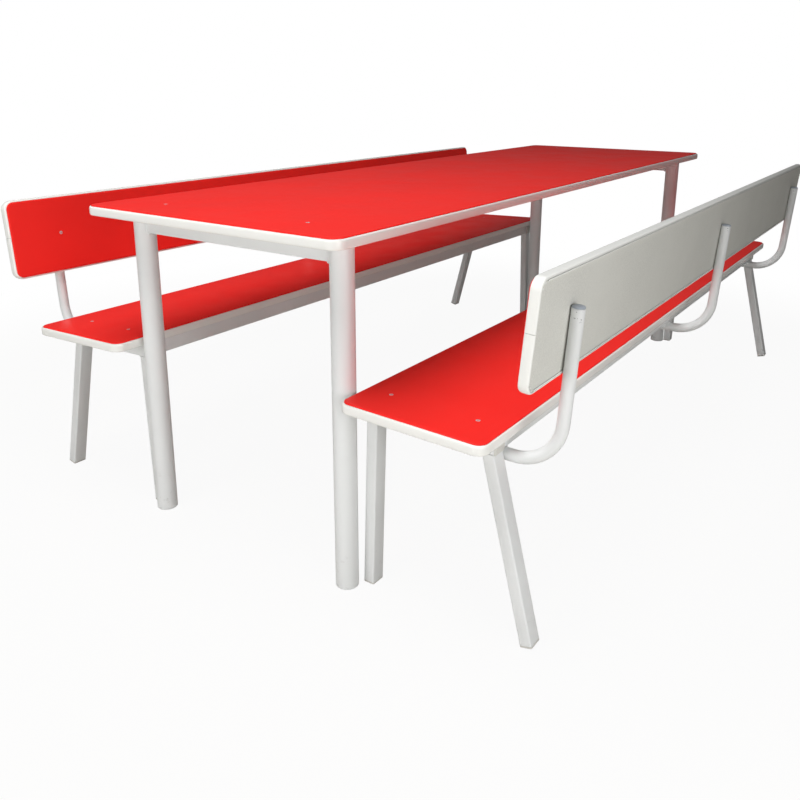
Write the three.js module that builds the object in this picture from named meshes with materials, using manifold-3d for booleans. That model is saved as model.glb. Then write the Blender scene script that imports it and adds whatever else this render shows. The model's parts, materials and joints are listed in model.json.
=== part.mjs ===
// School dining table with two loose backrest benches, in millimetres, +Z up.
// X runs along the table. The near bench stands on the -Y side and the far bench on the +Y side.
import * as THREE from 'three';
import { mergeVertices } from 'three/addons/utils/BufferGeometryUtils.js';
import Module from 'manifold-3d';

const wasm = await Module();
wasm.setup();

// Fits
const CLEARANCE = 0.3;

// Panels: a board, a coloured facing on its show side and a moulded edging round its rim
const BOARD_THICKNESS = 18;
const FACING_THICKNESS = 3;
const FACING_EDGE_RADIUS = 2.5;
const EDGING_BULGE = 4.5;
const EDGING_LIP_WIDTH = 3.5;
const EDGING_LIP_THICKNESS = 2;
const CORNER_STEPS = 5;
const FACING_EDGE_STEPS = 3;
const EDGING_STEPS = 6;

// Table
const TABLE_HEIGHT = 750;
const TOP_LENGTH = 2224;
const TOP_WIDTH = 696;
const TOP_CORNER_RADIUS = 24;
const TABLE_LEG_DIAMETER = 48;
const TABLE_LEG_WALL = 2;
const TABLE_LEG_INSET_X = 97;
const TABLE_LEG_INSET_Y = 66;
const TABLE_FOOT_HEIGHT = 5;
const TABLE_FOOT_STEM = 18;
const TABLE_FOOT_ROUNDING = 1.5;
const TABLE_FOOT_GROOVE = 0.8;
const TABLE_RAIL_HEIGHT = 45;
const TABLE_RAIL_WIDTH = 25;
const ROUND_SIDES = 24;

// Bench seat and frame
const SEAT_HEIGHT = 428;
const SEAT_END_INSET = 8;
const SEAT_DEPTH = 304;
const SEAT_CORNER_RADIUS = 20;
const SEAT_RAKE = THREE.MathUtils.degToRad(1.8);
const BENCH_RAIL_HEIGHT = 35;
const BENCH_RAIL_WIDTH = 25;
const BENCH_LEG_WIDTH = 35;
const BENCH_LEG_DEPTH = 25;
const BAR_WALL = 2;
const BAR_CORNER_RADIUS = 3;
const BAR_LEAST_INNER_RADIUS = 0.5;
const BAR_CORNER_STEPS = 1;
const BENCH_LEG_INSET = 80;
const FRAME_REAR_INSET = 18;
const REAR_LEG_SPLAY = THREE.MathUtils.degToRad(14.3);
const BENCH_FOOT_HEIGHT = 4;
const BENCH_FOOT_STEM = 15;

// Backrest and the bent tubes that carry it
const BACK_END_REACH = 5;
const BACK_HEIGHT = 187;
const BACK_CORNER_RADIUS = 18;
const BACK_LEAN = THREE.MathUtils.degToRad(3.2);
const BACK_SETBACK = 58;
const BACK_BOTTOM = 541.5;
const TUBE_DIAMETER = 24;
const TUBE_WALL = 2;
const TUBE_BEND_RADIUS = 90;
const TUBE_TOP_ON_BACK = 118;
const TUBE_HALF_SIDES = 6;
const TUBE_BEND_STEPS = 7;
const PLUG_RIM = 1;
const PLUG_DOME = 4;
const PLUG_STEM = 12;
const PLUG_DOME_STEPS = 3;

// Where the two loose benches stand
const BENCH_GAP = 0.5;
const NEAR_BENCH_SHIFT = 35;
const FAR_BENCH_SHIFT = 11;

// Sizes and places that follow from those above; the benches are as long as the table to a few millimetres
const PANEL_THICKNESS = BOARD_THICKNESS + CLEARANCE + FACING_THICKNESS;
const TABLE_FRAME_TOP = TABLE_HEIGHT - PANEL_THICKNESS - CLEARANCE;
const TABLE_LEG_X = TOP_LENGTH / 2 - TABLE_LEG_INSET_X;
const TABLE_LEG_Y = TOP_WIDTH / 2 - TABLE_LEG_INSET_Y;
const TABLE_LEG_RADIUS = TABLE_LEG_DIAMETER / 2;
const TABLE_RAIL_Z = TABLE_FRAME_TOP - TABLE_RAIL_HEIGHT / 2;
const SEAT_LENGTH = TOP_LENGTH - 2 * SEAT_END_INSET;
const BACK_LENGTH = SEAT_LENGTH + 2 * BACK_END_REACH;
const BENCH_FRAME_TOP = SEAT_HEIGHT - PANEL_THICKNESS - CLEARANCE;
const BENCH_RAIL_Z = BENCH_FRAME_TOP - BENCH_RAIL_HEIGHT / 2;
const BENCH_RAIL_BOTTOM = BENCH_FRAME_TOP - BENCH_RAIL_HEIGHT;
const BENCH_LEG_TOP = BENCH_RAIL_BOTTOM - CLEARANCE;
const BENCH_LEG_X = SEAT_LENGTH / 2 - BENCH_LEG_INSET - BENCH_LEG_WIDTH / 2;
const FRAME_FRONT = SEAT_DEPTH / 2 - EDGING_LIP_WIDTH - CLEARANCE;
const FRAME_REAR = -SEAT_DEPTH / 2 + FRAME_REAR_INSET;
const BAR_INNER_RADIUS = Math.max(BAR_CORNER_RADIUS - BAR_WALL, BAR_LEAST_INNER_RADIUS);
const TUBE_RADIUS = TUBE_DIAMETER / 2;
const TUBE_BORE_RADIUS = TUBE_RADIUS - TUBE_WALL;
const TUBE_RUN_Z = BENCH_RAIL_BOTTOM - CLEARANCE - TUBE_RADIUS;
const TUBE_X = BENCH_LEG_X - BENCH_LEG_WIDTH / 2 - CLEARANCE - TUBE_RADIUS;

// Finishes
const redFacing = () => new THREE.MeshStandardMaterial({ color: 0xd6231f, roughness: 0.35, metalness: 0 });
const paleBoard = () => new THREE.MeshStandardMaterial({ color: 0xd4d4ce, roughness: 0.55, metalness: 0 });
const whiteEdging = () => new THREE.MeshStandardMaterial({ color: 0xf0efea, roughness: 0.4, metalness: 0 });
const whiteSteel = () => new THREE.MeshStandardMaterial({ color: 0xe9edee, roughness: 0.4, metalness: 0 });
const whiteFoot = () => new THREE.MeshStandardMaterial({ color: 0xe6e5df, roughness: 0.5, metalness: 0 });
const greyPlug = () => new THREE.MeshStandardMaterial({ color: 0xb8bec7, roughness: 0.45, metalness: 0 });

function piece(name, geometry, material) {
  const mesh = new THREE.Mesh(geometry, material);
  mesh.name = name;
  return mesh;
}

// Solids for cuts
function toSolid(geometry) {
  const bare = geometry.clone();
  bare.deleteAttribute('normal');
  bare.deleteAttribute('uv');
  const merged = mergeVertices(bare);
  return new wasm.Manifold(new wasm.Mesh({
    numProp: 3,
    vertProperties: new Float32Array(merged.attributes.position.array),
    triVerts: new Uint32Array(merged.index.array),
  }));
}

function toGeometry(solid) {
  const mesh = solid.getMesh();
  const geometry = new THREE.BufferGeometry();
  geometry.setAttribute('position', new THREE.BufferAttribute(mesh.vertProperties, 3));
  geometry.setIndex(new THREE.BufferAttribute(mesh.triVerts, 1));
  geometry.computeVertexNormals();
  return geometry;
}

function cut(geometry, ...tools) {
  const solid = tools.reduce((rest, tool) => rest.subtract(toSolid(tool)), toSolid(geometry));
  return toGeometry(solid);
}

// Panel forms: rounded rectangles stacked by offset from the panel's outline and height
function outlineLoop(length, width, radius, offset) {
  const round = radius + offset;
  const corners = [[1, 1], [-1, 1], [-1, -1], [1, -1]];
  return corners.flatMap(([sx, sy], quarter) => {
    const centre = new THREE.Vector2(sx * (length / 2 - radius), sy * (width / 2 - radius));
    return Array.from({ length: CORNER_STEPS + 1 }, (_, step) => {
      const angle = (quarter + step / CORNER_STEPS) * Math.PI / 2;
      return new THREE.Vector2(Math.cos(angle), Math.sin(angle)).multiplyScalar(round).add(centre);
    });
  });
}

// A ring section closes on itself; an open section is closed by a flat face at each end
function loftOutline(length, width, radius, section, isRing) {
  const loops = section.map((point) => outlineLoop(length, width, radius, point.x));
  const count = loops[0].length;
  const positions = loops.flatMap((loop, level) => loop.flatMap((p) => [p.x, p.y, section[level].y]));
  const index = [];
  const lastLevel = isRing ? section.length : section.length - 1;
  for (let level = 0; level < lastLevel; level += 1) {
    const above = (level + 1) % section.length;
    for (let i = 0; i < count; i += 1) {
      const j = (i + 1) % count;
      const [a, b] = [level * count + i, level * count + j];
      const [c, d] = [above * count + j, above * count + i];
      index.push(a, b, c, a, c, d);
    }
  }
  if (!isRing) {
    const bottomCentre = section.length * count;
    const topCentre = bottomCentre + 1;
    const topStart = (section.length - 1) * count;
    positions.push(0, 0, section[0].y, 0, 0, section[section.length - 1].y);
    for (let i = 0; i < count; i += 1) {
      const j = (i + 1) % count;
      index.push(bottomCentre, j, i, topCentre, topStart + i, topStart + j);
    }
  }
  const geometry = new THREE.BufferGeometry();
  geometry.setAttribute('position', new THREE.Float32BufferAttribute(positions, 3));
  geometry.setIndex(index);
  geometry.computeVertexNormals();
  return geometry;
}

function boardGeometry(length, width, radius) {
  const section = [new THREE.Vector2(0, 0), new THREE.Vector2(0, BOARD_THICKNESS)];
  return loftOutline(length, width, radius, section, false);
}

// The facing's upper rim is rolled over with a small radius
function facingGeometry(length, width, radius) {
  const base = BOARD_THICKNESS + CLEARANCE;
  const top = base + FACING_THICKNESS;
  const section = [new THREE.Vector2(0, base)];
  for (let step = 0; step <= FACING_EDGE_STEPS; step += 1) {
    const angle = (step / FACING_EDGE_STEPS) * Math.PI / 2;
    const inset = FACING_EDGE_RADIUS * (1 - Math.cos(angle));
    section.push(new THREE.Vector2(-inset, top - FACING_EDGE_RADIUS * (1 - Math.sin(angle))));
  }
  return loftOutline(length, width, radius, section, false);
}

// The edging is a convex web round the board's rim, with a lip under its back along the long sides
function edgingGeometry(length, width, radius) {
  const half = BOARD_THICKNESS / 2;
  const section = [];
  for (let step = 0; step <= EDGING_STEPS; step += 1) {
    const angle = (step / EDGING_STEPS) * Math.PI;
    const bulge = (EDGING_BULGE - CLEARANCE) * Math.sin(angle);
    section.push(new THREE.Vector2(CLEARANCE + bulge, half - half * Math.cos(angle)));
  }
  const web = toSolid(loftOutline(length, width, radius, section, true));
  const [reach, drop] = [EDGING_BULGE / 2, EDGING_LIP_THICKNESS + CLEARANCE];
  const lipSection = new THREE.Shape();
  lipSection.moveTo(-EDGING_LIP_WIDTH, -CLEARANCE);
  lipSection.lineTo(-EDGING_LIP_WIDTH, -drop);
  lipSection.lineTo(reach / 2, -drop);
  lipSection.lineTo(reach, half / 2);
  lipSection.lineTo(CLEARANCE, half / 2);
  lipSection.lineTo(CLEARANCE, -CLEARANCE);
  const straight = length - 2 * radius;
  const lips = [0, Math.PI].map((turn) => {
    const lip = new THREE.ExtrudeGeometry(lipSection, { depth: straight, bevelEnabled: false });
    lip.rotateX(Math.PI / 2).rotateZ(Math.PI / 2).translate(-straight / 2, width / 2, 0);
    return toSolid(lip.rotateZ(turn));
  });
  return toGeometry(web.add(lips[0]).add(lips[1]));
}

function makePanel(name, length, width, radius) {
  const panel = new THREE.Group();
  panel.add(piece(`${name}_board`, boardGeometry(length, width, radius), paleBoard()));
  panel.add(piece(`${name}_facing`, facingGeometry(length, width, radius), redFacing()));
  panel.add(piece(`${name}_edging`, edgingGeometry(length, width, radius), whiteEdging()));
  return panel;
}

// Bars: hollow sections with rounded corners, standing on z = 0
function roundedSection(width, depth, radius, Form) {
  const form = new Form();
  const [x, y] = [width / 2 - radius, depth / 2 - radius];
  form.absarc(x, y, radius, 0, Math.PI / 2);
  form.absarc(-x, y, radius, Math.PI / 2, Math.PI);
  form.absarc(-x, -y, radius, Math.PI, Math.PI * 1.5);
  form.absarc(x, -y, radius, Math.PI * 1.5, Math.PI * 2);
  form.closePath();
  return form;
}

function hollowBar(width, depth, length) {
  const shape = roundedSection(width, depth, BAR_CORNER_RADIUS, THREE.Shape);
  const [boreWidth, boreDepth] = [width - 2 * BAR_WALL, depth - 2 * BAR_WALL];
  shape.holes.push(roundedSection(boreWidth, boreDepth, BAR_INNER_RADIUS, THREE.Path));
  const options = { depth: length, bevelEnabled: false, curveSegments: BAR_CORNER_STEPS };
  return new THREE.ExtrudeGeometry(shape, options);
}

function barAlongX(height, width, length) {
  return hollowBar(height, width, length).translate(0, 0, -length / 2).rotateY(Math.PI / 2);
}

function barAlongY(width, height, length) {
  return hollowBar(width, height, length).translate(0, 0, -length / 2).rotateX(Math.PI / 2);
}

// Round pieces turned about Z from a profile of radius and height
function turned(profile, sides) {
  return new THREE.LatheGeometry(profile, sides).rotateX(Math.PI / 2);
}

// Table leg: a round tube open under the top, with its glued-in foot as the closed lower end
function tableLegGeometry() {
  const outer = TABLE_LEG_RADIUS;
  const inner = outer - TABLE_LEG_WALL;
  const profile = [
    [0, 0],
    [outer - TABLE_FOOT_ROUNDING, 0],
    [outer, TABLE_FOOT_ROUNDING],
    [outer, TABLE_FOOT_HEIGHT - TABLE_FOOT_GROOVE],
    [outer - TABLE_FOOT_GROOVE, TABLE_FOOT_HEIGHT],
    [outer, TABLE_FOOT_HEIGHT + TABLE_FOOT_GROOVE],
    [outer, TABLE_FRAME_TOP],
    [inner, TABLE_FRAME_TOP],
    [inner, TABLE_FOOT_HEIGHT + TABLE_FOOT_STEM],
    [0, TABLE_FOOT_HEIGHT + TABLE_FOOT_STEM],
  ];
  return turned(profile.map(([r, z]) => new THREE.Vector2(r, z)), ROUND_SIDES);
}

// End rail: its ends are coped to the two round legs it is welded to
function tableEndRailGeometry() {
  const rail = barAlongY(TABLE_RAIL_WIDTH, TABLE_RAIL_HEIGHT, 2 * TABLE_LEG_Y);
  const copes = [-TABLE_LEG_Y, TABLE_LEG_Y].map((y) => {
    const radius = TABLE_LEG_RADIUS + CLEARANCE;
    const cutter = new THREE.CylinderGeometry(radius, radius, 2 * TABLE_RAIL_HEIGHT, ROUND_SIDES);
    return cutter.rotateX(Math.PI / 2).translate(0, y, 0);
  });
  return cut(rail, ...copes);
}

function makeTable() {
  const table = new THREE.Group();
  const top = makePanel('table_top', TOP_LENGTH, TOP_WIDTH, TOP_CORNER_RADIUS);
  top.position.z = TABLE_HEIGHT - PANEL_THICKNESS;
  table.add(top);
  for (const [end, sx] of [['left', -1], ['right', 1]]) {
    for (const [side, sy] of [['near', -1], ['far', 1]]) {
      const leg = piece(`table_leg_${end}_${side}`, tableLegGeometry(), whiteSteel());
      leg.position.set(sx * TABLE_LEG_X, sy * TABLE_LEG_Y, 0);
      table.add(leg);
    }
    const rail = piece(`table_end_rail_${end}`, tableEndRailGeometry(), whiteSteel());
    rail.position.set(sx * TABLE_LEG_X, 0, TABLE_RAIL_Z);
    table.add(rail);
  }
  const spineLength = 2 * TABLE_LEG_X - TABLE_RAIL_WIDTH - 2 * CLEARANCE;
  const spine = barAlongX(TABLE_RAIL_HEIGHT, TABLE_RAIL_WIDTH, spineLength);
  const centreRail = piece('table_centre_rail', spine, whiteSteel());
  centreRail.position.z = TABLE_RAIL_Z;
  table.add(centreRail);
  return table;
}

// The seat and its frame are built square and then raked back about the seat's middle
const seatMiddle = new THREE.Vector3(0, 0, SEAT_HEIGHT);
const seatRake = new THREE.Matrix4().makeTranslation(seatMiddle)
  .multiply(new THREE.Matrix4().makeRotationX(SEAT_RAKE))
  .multiply(new THREE.Matrix4().makeTranslation(seatMiddle.clone().negate()));

// Bench leg: cut square at its foot and flush under the raked cross rail.
// The front legs stand square to the seat; the rear legs splay backwards.
const benchLegs = {
  front: { splay: SEAT_RAKE, toOuterFace: 1, frameEnd: FRAME_FRONT },
  rear: { splay: -REAR_LEG_SPLAY, toOuterFace: -1, frameEnd: FRAME_REAR },
};

function benchLegPlace({ splay, toOuterFace, frameEnd }) {
  const top = new THREE.Vector3(0, frameEnd, BENCH_LEG_TOP).applyMatrix4(seatRake);
  const axisY = top.y - toOuterFace * BENCH_LEG_DEPTH / 2 / Math.cos(splay);
  const footZ = BENCH_LEG_DEPTH / 2 * Math.sin(Math.abs(splay));
  const footY = axisY + (top.z - footZ) * Math.tan(splay);
  return new THREE.Matrix4().makeRotationX(splay).setPosition(0, footY, footZ);
}

function benchLegGeometry(leg) {
  const start = BENCH_FOOT_HEIGHT + CLEARANCE;
  const spare = BENCH_LEG_DEPTH;
  const length = BENCH_LEG_TOP / Math.cos(leg.splay) + spare - start;
  const bar = hollowBar(BENCH_LEG_WIDTH, BENCH_LEG_DEPTH, length).translate(0, 0, start);
  const above = new THREE.BoxGeometry(4 * BENCH_LEG_WIDTH, 2 * SEAT_DEPTH, 4 * spare);
  above.translate(0, 0, BENCH_LEG_TOP + 2 * spare).applyMatrix4(seatRake);
  return cut(bar.applyMatrix4(benchLegPlace(leg)), above);
}

// Bench foot: a cap as wide as the leg, with a stem pressed up into it
function benchFootGeometry(leg) {
  const inset = 2 * (BAR_WALL + CLEARANCE);
  const extrusion = (depth) => ({ depth, bevelEnabled: false, curveSegments: BAR_CORNER_STEPS });
  const capShape = roundedSection(BENCH_LEG_WIDTH, BENCH_LEG_DEPTH, BAR_CORNER_RADIUS, THREE.Shape);
  const [stemWidth, stemDepth] = [BENCH_LEG_WIDTH - inset, BENCH_LEG_DEPTH - inset];
  const stemShape = roundedSection(stemWidth, stemDepth, BAR_INNER_RADIUS, THREE.Shape);
  const cap = new THREE.ExtrudeGeometry(capShape, extrusion(BENCH_FOOT_HEIGHT));
  const stem = new THREE.ExtrudeGeometry(stemShape, extrusion(BENCH_FOOT_HEIGHT + BENCH_FOOT_STEM));
  const foot = toGeometry(toSolid(cap).add(toSolid(stem)));
  return foot.applyMatrix4(benchLegPlace(leg));
}

// Backrest axes in the seat's frame: up along its face and out of its front
const backUp = new THREE.Vector3(0, -Math.sin(BACK_LEAN), Math.cos(BACK_LEAN));
const backFront = new THREE.Vector3(0, Math.cos(BACK_LEAN), Math.sin(BACK_LEAN));
const backSide = new THREE.Vector3().crossVectors(backUp, backFront);
const backFoot = new THREE.Vector3(0, -SEAT_DEPTH / 2 - BACK_SETBACK, BACK_BOTTOM)
  .addScaledVector(backFront, -BOARD_THICKNESS);

// A point at a height up the backrest and a distance behind its board
function behindBack(height, distance) {
  return backFoot.clone().addScaledVector(backUp, height).addScaledVector(backFront, -distance);
}

// Side path of a back tube: under the rear rail, round one bend, then up behind the backrest.
// The upright bears on the edging's lower lip and, at its top, on the board.
class BackTubePath extends THREE.Curve {
  constructor() {
    super();
    const lipGap = CLEARANCE + EDGING_LIP_THICKNESS + CLEARANCE + TUBE_RADIUS;
    const low = behindBack(EDGING_LIP_WIDTH, lipGap);
    this.top = behindBack(TUBE_TOP_ON_BACK, CLEARANCE + TUBE_RADIUS);
    this.rise = this.top.clone().sub(low).normalize();
    this.turn = Math.PI / 2 - Math.atan2(-this.rise.y, this.rise.z);
    const centreZ = TUBE_RUN_Z + TUBE_BEND_RADIUS;
    const slope = this.rise.y / this.rise.z;
    const uprightY = low.y + (centreZ - low.z) * slope;
    const centreY = uprightY + TUBE_BEND_RADIUS / this.rise.z;
    this.centre = new THREE.Vector3(0, centreY, centreZ);
    this.start = new THREE.Vector3(0, FRAME_REAR + BENCH_RAIL_WIDTH, TUBE_RUN_Z);
    this.steps = TUBE_BEND_STEPS + 2;
  }

  // Equal steps of t give one step for each straight and the rest for the bend
  getUtoTmapping(u) {
    return u;
  }

  bendPoint(share) {
    const angle = share * this.turn;
    const arm = new THREE.Vector3(0, -Math.sin(angle), -Math.cos(angle));
    return this.centre.clone().addScaledVector(arm, TUBE_BEND_RADIUS);
  }

  getPoint(t, target = new THREE.Vector3()) {
    const step = t * this.steps;
    if (step < 1) {
      return target.lerpVectors(this.start, this.bendPoint(0), step);
    }
    if (step > this.steps - 1) {
      return target.lerpVectors(this.bendPoint(1), this.top, step - (this.steps - 1));
    }
    return target.copy(this.bendPoint((step - 1) / TUBE_BEND_STEPS));
  }
}

const backTubePath = new BackTubePath();
const upright = new THREE.Vector3(0, 0, 1);
const tubeRiseTurn = new THREE.Quaternion().setFromUnitVectors(upright, backTubePath.rise);

// A round tube, open at both ends, swept along its side path
function backTubeGeometry() {
  const shape = new THREE.Shape().absarc(0, 0, TUBE_RADIUS, 0, Math.PI * 2);
  shape.holes.push(new THREE.Path().absarc(0, 0, TUBE_BORE_RADIUS, 0, Math.PI * 2));
  const options = { steps: backTubePath.steps, curveSegments: TUBE_HALF_SIDES, extrudePath: backTubePath };
  return new THREE.ExtrudeGeometry(shape, options);
}

// Domed plug: a stem in the tube's bore and a rounded head as wide as the tube
function tubePlugGeometry() {
  const stem = TUBE_BORE_RADIUS - CLEARANCE;
  const profile = [[0, -PLUG_STEM], [stem, -PLUG_STEM], [stem, CLEARANCE], [TUBE_RADIUS, CLEARANCE]];
  for (let step = 0; step <= PLUG_DOME_STEPS; step += 1) {
    const angle = (step / PLUG_DOME_STEPS) * Math.PI / 2;
    const radius = step === PLUG_DOME_STEPS ? 0 : TUBE_RADIUS * Math.cos(angle);
    profile.push([radius, CLEARANCE + PLUG_RIM + PLUG_DOME * Math.sin(angle)]);
  }
  return turned(profile.map(([r, z]) => new THREE.Vector2(r, z)), 2 * TUBE_HALF_SIDES);
}

function addLegs(bench, name, end, sx) {
  for (const [place, form] of Object.entries(benchLegs)) {
    const leg = piece(`${name}_${place}_leg_${end}`, benchLegGeometry(form), whiteSteel());
    const foot = piece(`${name}_${place}_foot_${end}`, benchFootGeometry(form), whiteFoot());
    leg.position.x = sx * BENCH_LEG_X;
    foot.position.x = sx * BENCH_LEG_X;
    bench.add(leg, foot);
  }
}

function addCrossRail(seatFrame, name, end, sx) {
  const bar = barAlongY(BENCH_LEG_WIDTH, BENCH_RAIL_HEIGHT, FRAME_FRONT - FRAME_REAR);
  const rail = piece(`${name}_cross_rail_${end}`, bar, whiteSteel());
  rail.position.set(sx * BENCH_LEG_X, (FRAME_FRONT + FRAME_REAR) / 2, BENCH_RAIL_Z);
  seatFrame.add(rail);
}

function addLongRails(seatFrame, name) {
  const length = 2 * BENCH_LEG_X - BENCH_LEG_WIDTH - 2 * CLEARANCE;
  const frontY = FRAME_FRONT - BENCH_RAIL_WIDTH / 2;
  const rearY = FRAME_REAR + BENCH_RAIL_WIDTH / 2;
  for (const [place, y] of [['front', frontY], ['rear', rearY]]) {
    const bar = barAlongX(BENCH_RAIL_HEIGHT, BENCH_RAIL_WIDTH, length);
    const rail = piece(`${name}_${place}_rail`, bar, whiteSteel());
    rail.position.set(0, y, BENCH_RAIL_Z);
    seatFrame.add(rail);
  }
}

function addBackTube(seatFrame, name, place, x) {
  const tube = piece(`${name}_back_tube_${place}`, backTubeGeometry(), whiteSteel());
  tube.position.x = x;
  const plug = piece(`${name}_tube_plug_${place}`, tubePlugGeometry(), greyPlug());
  plug.position.set(x, backTubePath.top.y, backTubePath.top.z);
  plug.quaternion.copy(tubeRiseTurn);
  seatFrame.add(tube, plug);
}

// A bench faces +Y in its own frame; ends are named as they lie on the finished set
function makeBench(name, leftSign) {
  const bench = new THREE.Group();
  const seatFrame = new THREE.Group();
  seatFrame.applyMatrix4(seatRake);
  bench.add(seatFrame);

  const seat = makePanel(`${name}_seat`, SEAT_LENGTH, SEAT_DEPTH, SEAT_CORNER_RADIUS);
  seat.position.z = SEAT_HEIGHT - PANEL_THICKNESS;
  seatFrame.add(seat);

  const back = makePanel(`${name}_back`, BACK_LENGTH, BACK_HEIGHT, BACK_CORNER_RADIUS);
  back.setRotationFromMatrix(new THREE.Matrix4().makeBasis(backSide, backUp, backFront));
  back.position.copy(behindBack(BACK_HEIGHT / 2, 0));
  seatFrame.add(back);

  addLongRails(seatFrame, name);
  for (const [end, sx] of [['left', leftSign], ['right', -leftSign]]) {
    addCrossRail(seatFrame, name, end, sx);
    addBackTube(seatFrame, name, end, sx * TUBE_X);
    addLegs(bench, name, end, sx);
  }
  addBackTube(seatFrame, name, 'middle', 0);
  return bench;
}

// The benches are pushed in until the seat, or a front foot in line with a table leg, is just clear of it
const seatFront = new THREE.Vector3(0, SEAT_DEPTH / 2 + EDGING_BULGE, SEAT_HEIGHT - PANEL_THICKNESS);
seatFront.applyMatrix4(seatRake);
const frontFoot = new THREE.Vector3(0, BENCH_LEG_DEPTH / 2, 0).applyMatrix4(benchLegPlace(benchLegs.front));

function benchDistance(shift) {
  const stops = [-1, 1].map((sx) => {
    const apart = Math.abs(sx * (BENCH_LEG_X - TABLE_LEG_X) + shift);
    const across = Math.max(apart - BENCH_LEG_WIDTH / 2 - CLEARANCE, 0);
    const inLine = across < TABLE_LEG_RADIUS;
    return inLine ? frontFoot.y + Math.sqrt(TABLE_LEG_RADIUS ** 2 - across ** 2) : 0;
  });
  return TABLE_LEG_Y + BENCH_GAP + Math.max(seatFront.y + TABLE_LEG_RADIUS, ...stops);
}

const nearBench = makeBench('near_bench', -1);
nearBench.position.set(NEAR_BENCH_SHIFT, -benchDistance(NEAR_BENCH_SHIFT), 0);

const farBench = makeBench('far_bench', 1);
farBench.rotation.z = Math.PI;
farBench.position.set(FAR_BENCH_SHIFT, benchDistance(FAR_BENCH_SHIFT), 0);

// The origin is on the floor, under the middle of the whole set
const diningSet = new THREE.Group();
diningSet.add(makeTable(), nearBench, farBench);
const extent = new THREE.Box3().setFromObject(diningSet, true);
const middle = extent.getCenter(new THREE.Vector3());
diningSet.position.set(-middle.x, -middle.y, -extent.min.z);

export default diningSet;
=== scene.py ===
"""Looks of a school dining table with two loose backrest benches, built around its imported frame."""
import json
import math

import bmesh
import bpy
from bpy.props import FloatProperty, FloatVectorProperty, PointerProperty
from bpy.types import Operator, PropertyGroup
from mathutils import Matrix, Vector

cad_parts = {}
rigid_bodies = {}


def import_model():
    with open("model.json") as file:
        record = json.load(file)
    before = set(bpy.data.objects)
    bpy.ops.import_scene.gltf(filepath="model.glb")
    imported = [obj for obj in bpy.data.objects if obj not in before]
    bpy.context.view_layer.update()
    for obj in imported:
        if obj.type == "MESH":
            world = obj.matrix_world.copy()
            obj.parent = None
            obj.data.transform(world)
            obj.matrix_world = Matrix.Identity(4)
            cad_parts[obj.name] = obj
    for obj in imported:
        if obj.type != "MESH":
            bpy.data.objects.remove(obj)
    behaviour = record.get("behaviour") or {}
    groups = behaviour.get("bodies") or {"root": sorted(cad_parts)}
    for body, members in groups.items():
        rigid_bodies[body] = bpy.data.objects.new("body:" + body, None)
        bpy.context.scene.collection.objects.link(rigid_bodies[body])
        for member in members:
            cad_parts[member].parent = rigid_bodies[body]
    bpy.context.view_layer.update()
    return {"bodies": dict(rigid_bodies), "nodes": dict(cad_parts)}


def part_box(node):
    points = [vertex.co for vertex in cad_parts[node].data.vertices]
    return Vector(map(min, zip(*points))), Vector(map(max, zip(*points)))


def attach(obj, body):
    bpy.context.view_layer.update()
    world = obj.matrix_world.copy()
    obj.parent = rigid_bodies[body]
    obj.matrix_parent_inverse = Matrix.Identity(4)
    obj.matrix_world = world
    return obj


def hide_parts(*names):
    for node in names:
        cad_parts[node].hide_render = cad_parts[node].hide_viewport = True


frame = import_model()

bl_info = {
    "name": "Dining Set Looks",
    "version": (1, 0, 0),
    "blender": (4, 5, 0),
    "location": "View3D > Sidebar > Dining Set",
    "description": "Panels, tube frames, fittings and studio of a dining table with two benches",
    "category": "Object",
}

PANELS = ("table_top", "near_bench_seat", "near_bench_back", "far_bench_seat", "far_bench_back")
BENCHES = ("near_bench", "far_bench")
ENDS = ("left", "right")
TUBE_PLACES = ("left", "middle", "right")
SIDES = (-1.0, 1.0)
CORNERS = tuple((along, across) for along in SIDES for across in SIDES)
X, Y, Z = range(3)
RIGHT_ANGLE = math.pi / 2
LEVEL = Matrix.Identity(4)
# Turns a piece that stands on the origin so that it lies along X or Y
ALONG_X = Matrix.Rotation(RIGHT_ANGLE, 4, "Y")
ALONG_Y = Matrix.Rotation(-RIGHT_ANGLE, 4, "X")
# Segments, sides and steps of the round forms
CORNER_SEGMENTS = 14
RIM_SEGMENTS = 7
EDGING_SEGMENTS = 8
LEG_SIDES = 56
BAR_SEGMENTS = 5
TUBE_SIDES = 32
BEND_STEPS = 18
DOME_STEPS = 7
SCREW_SIDES = 28
BEAD_SIDES = 14
# Faces that meet at less than these angles are shaded as one
SMOOTH_ANGLE = math.radians(35)
BEAD_SMOOTH_ANGLE = math.radians(80)
# Points nearer than this are merged, and places nearer than this count as the same
MERGE_DISTANCE = 1e-6
SAME_PLACE = 1e-5
# Share of a direction's length along an axis from which it counts as lying along that axis
ALIGNED = 0.99


def number_prop(name, description, default, **settings):
    return FloatProperty(name=name, description=description, default=default, **settings)


def length_prop(name, description, default):
    return number_prop(name, description, default, unit="LENGTH", precision=4)


def angle_prop(name, description, degrees):
    return number_prop(name, description, math.radians(degrees), subtype="ANGLE")


def power_prop(name, description, watts):
    return number_prop(name, description, watts, unit="POWER")


def colour_prop(name, description, rgb):
    return FloatVectorProperty(
        name=name, description=description, default=rgb, subtype="COLOR", size=3, min=0.0, max=1.0)


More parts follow.
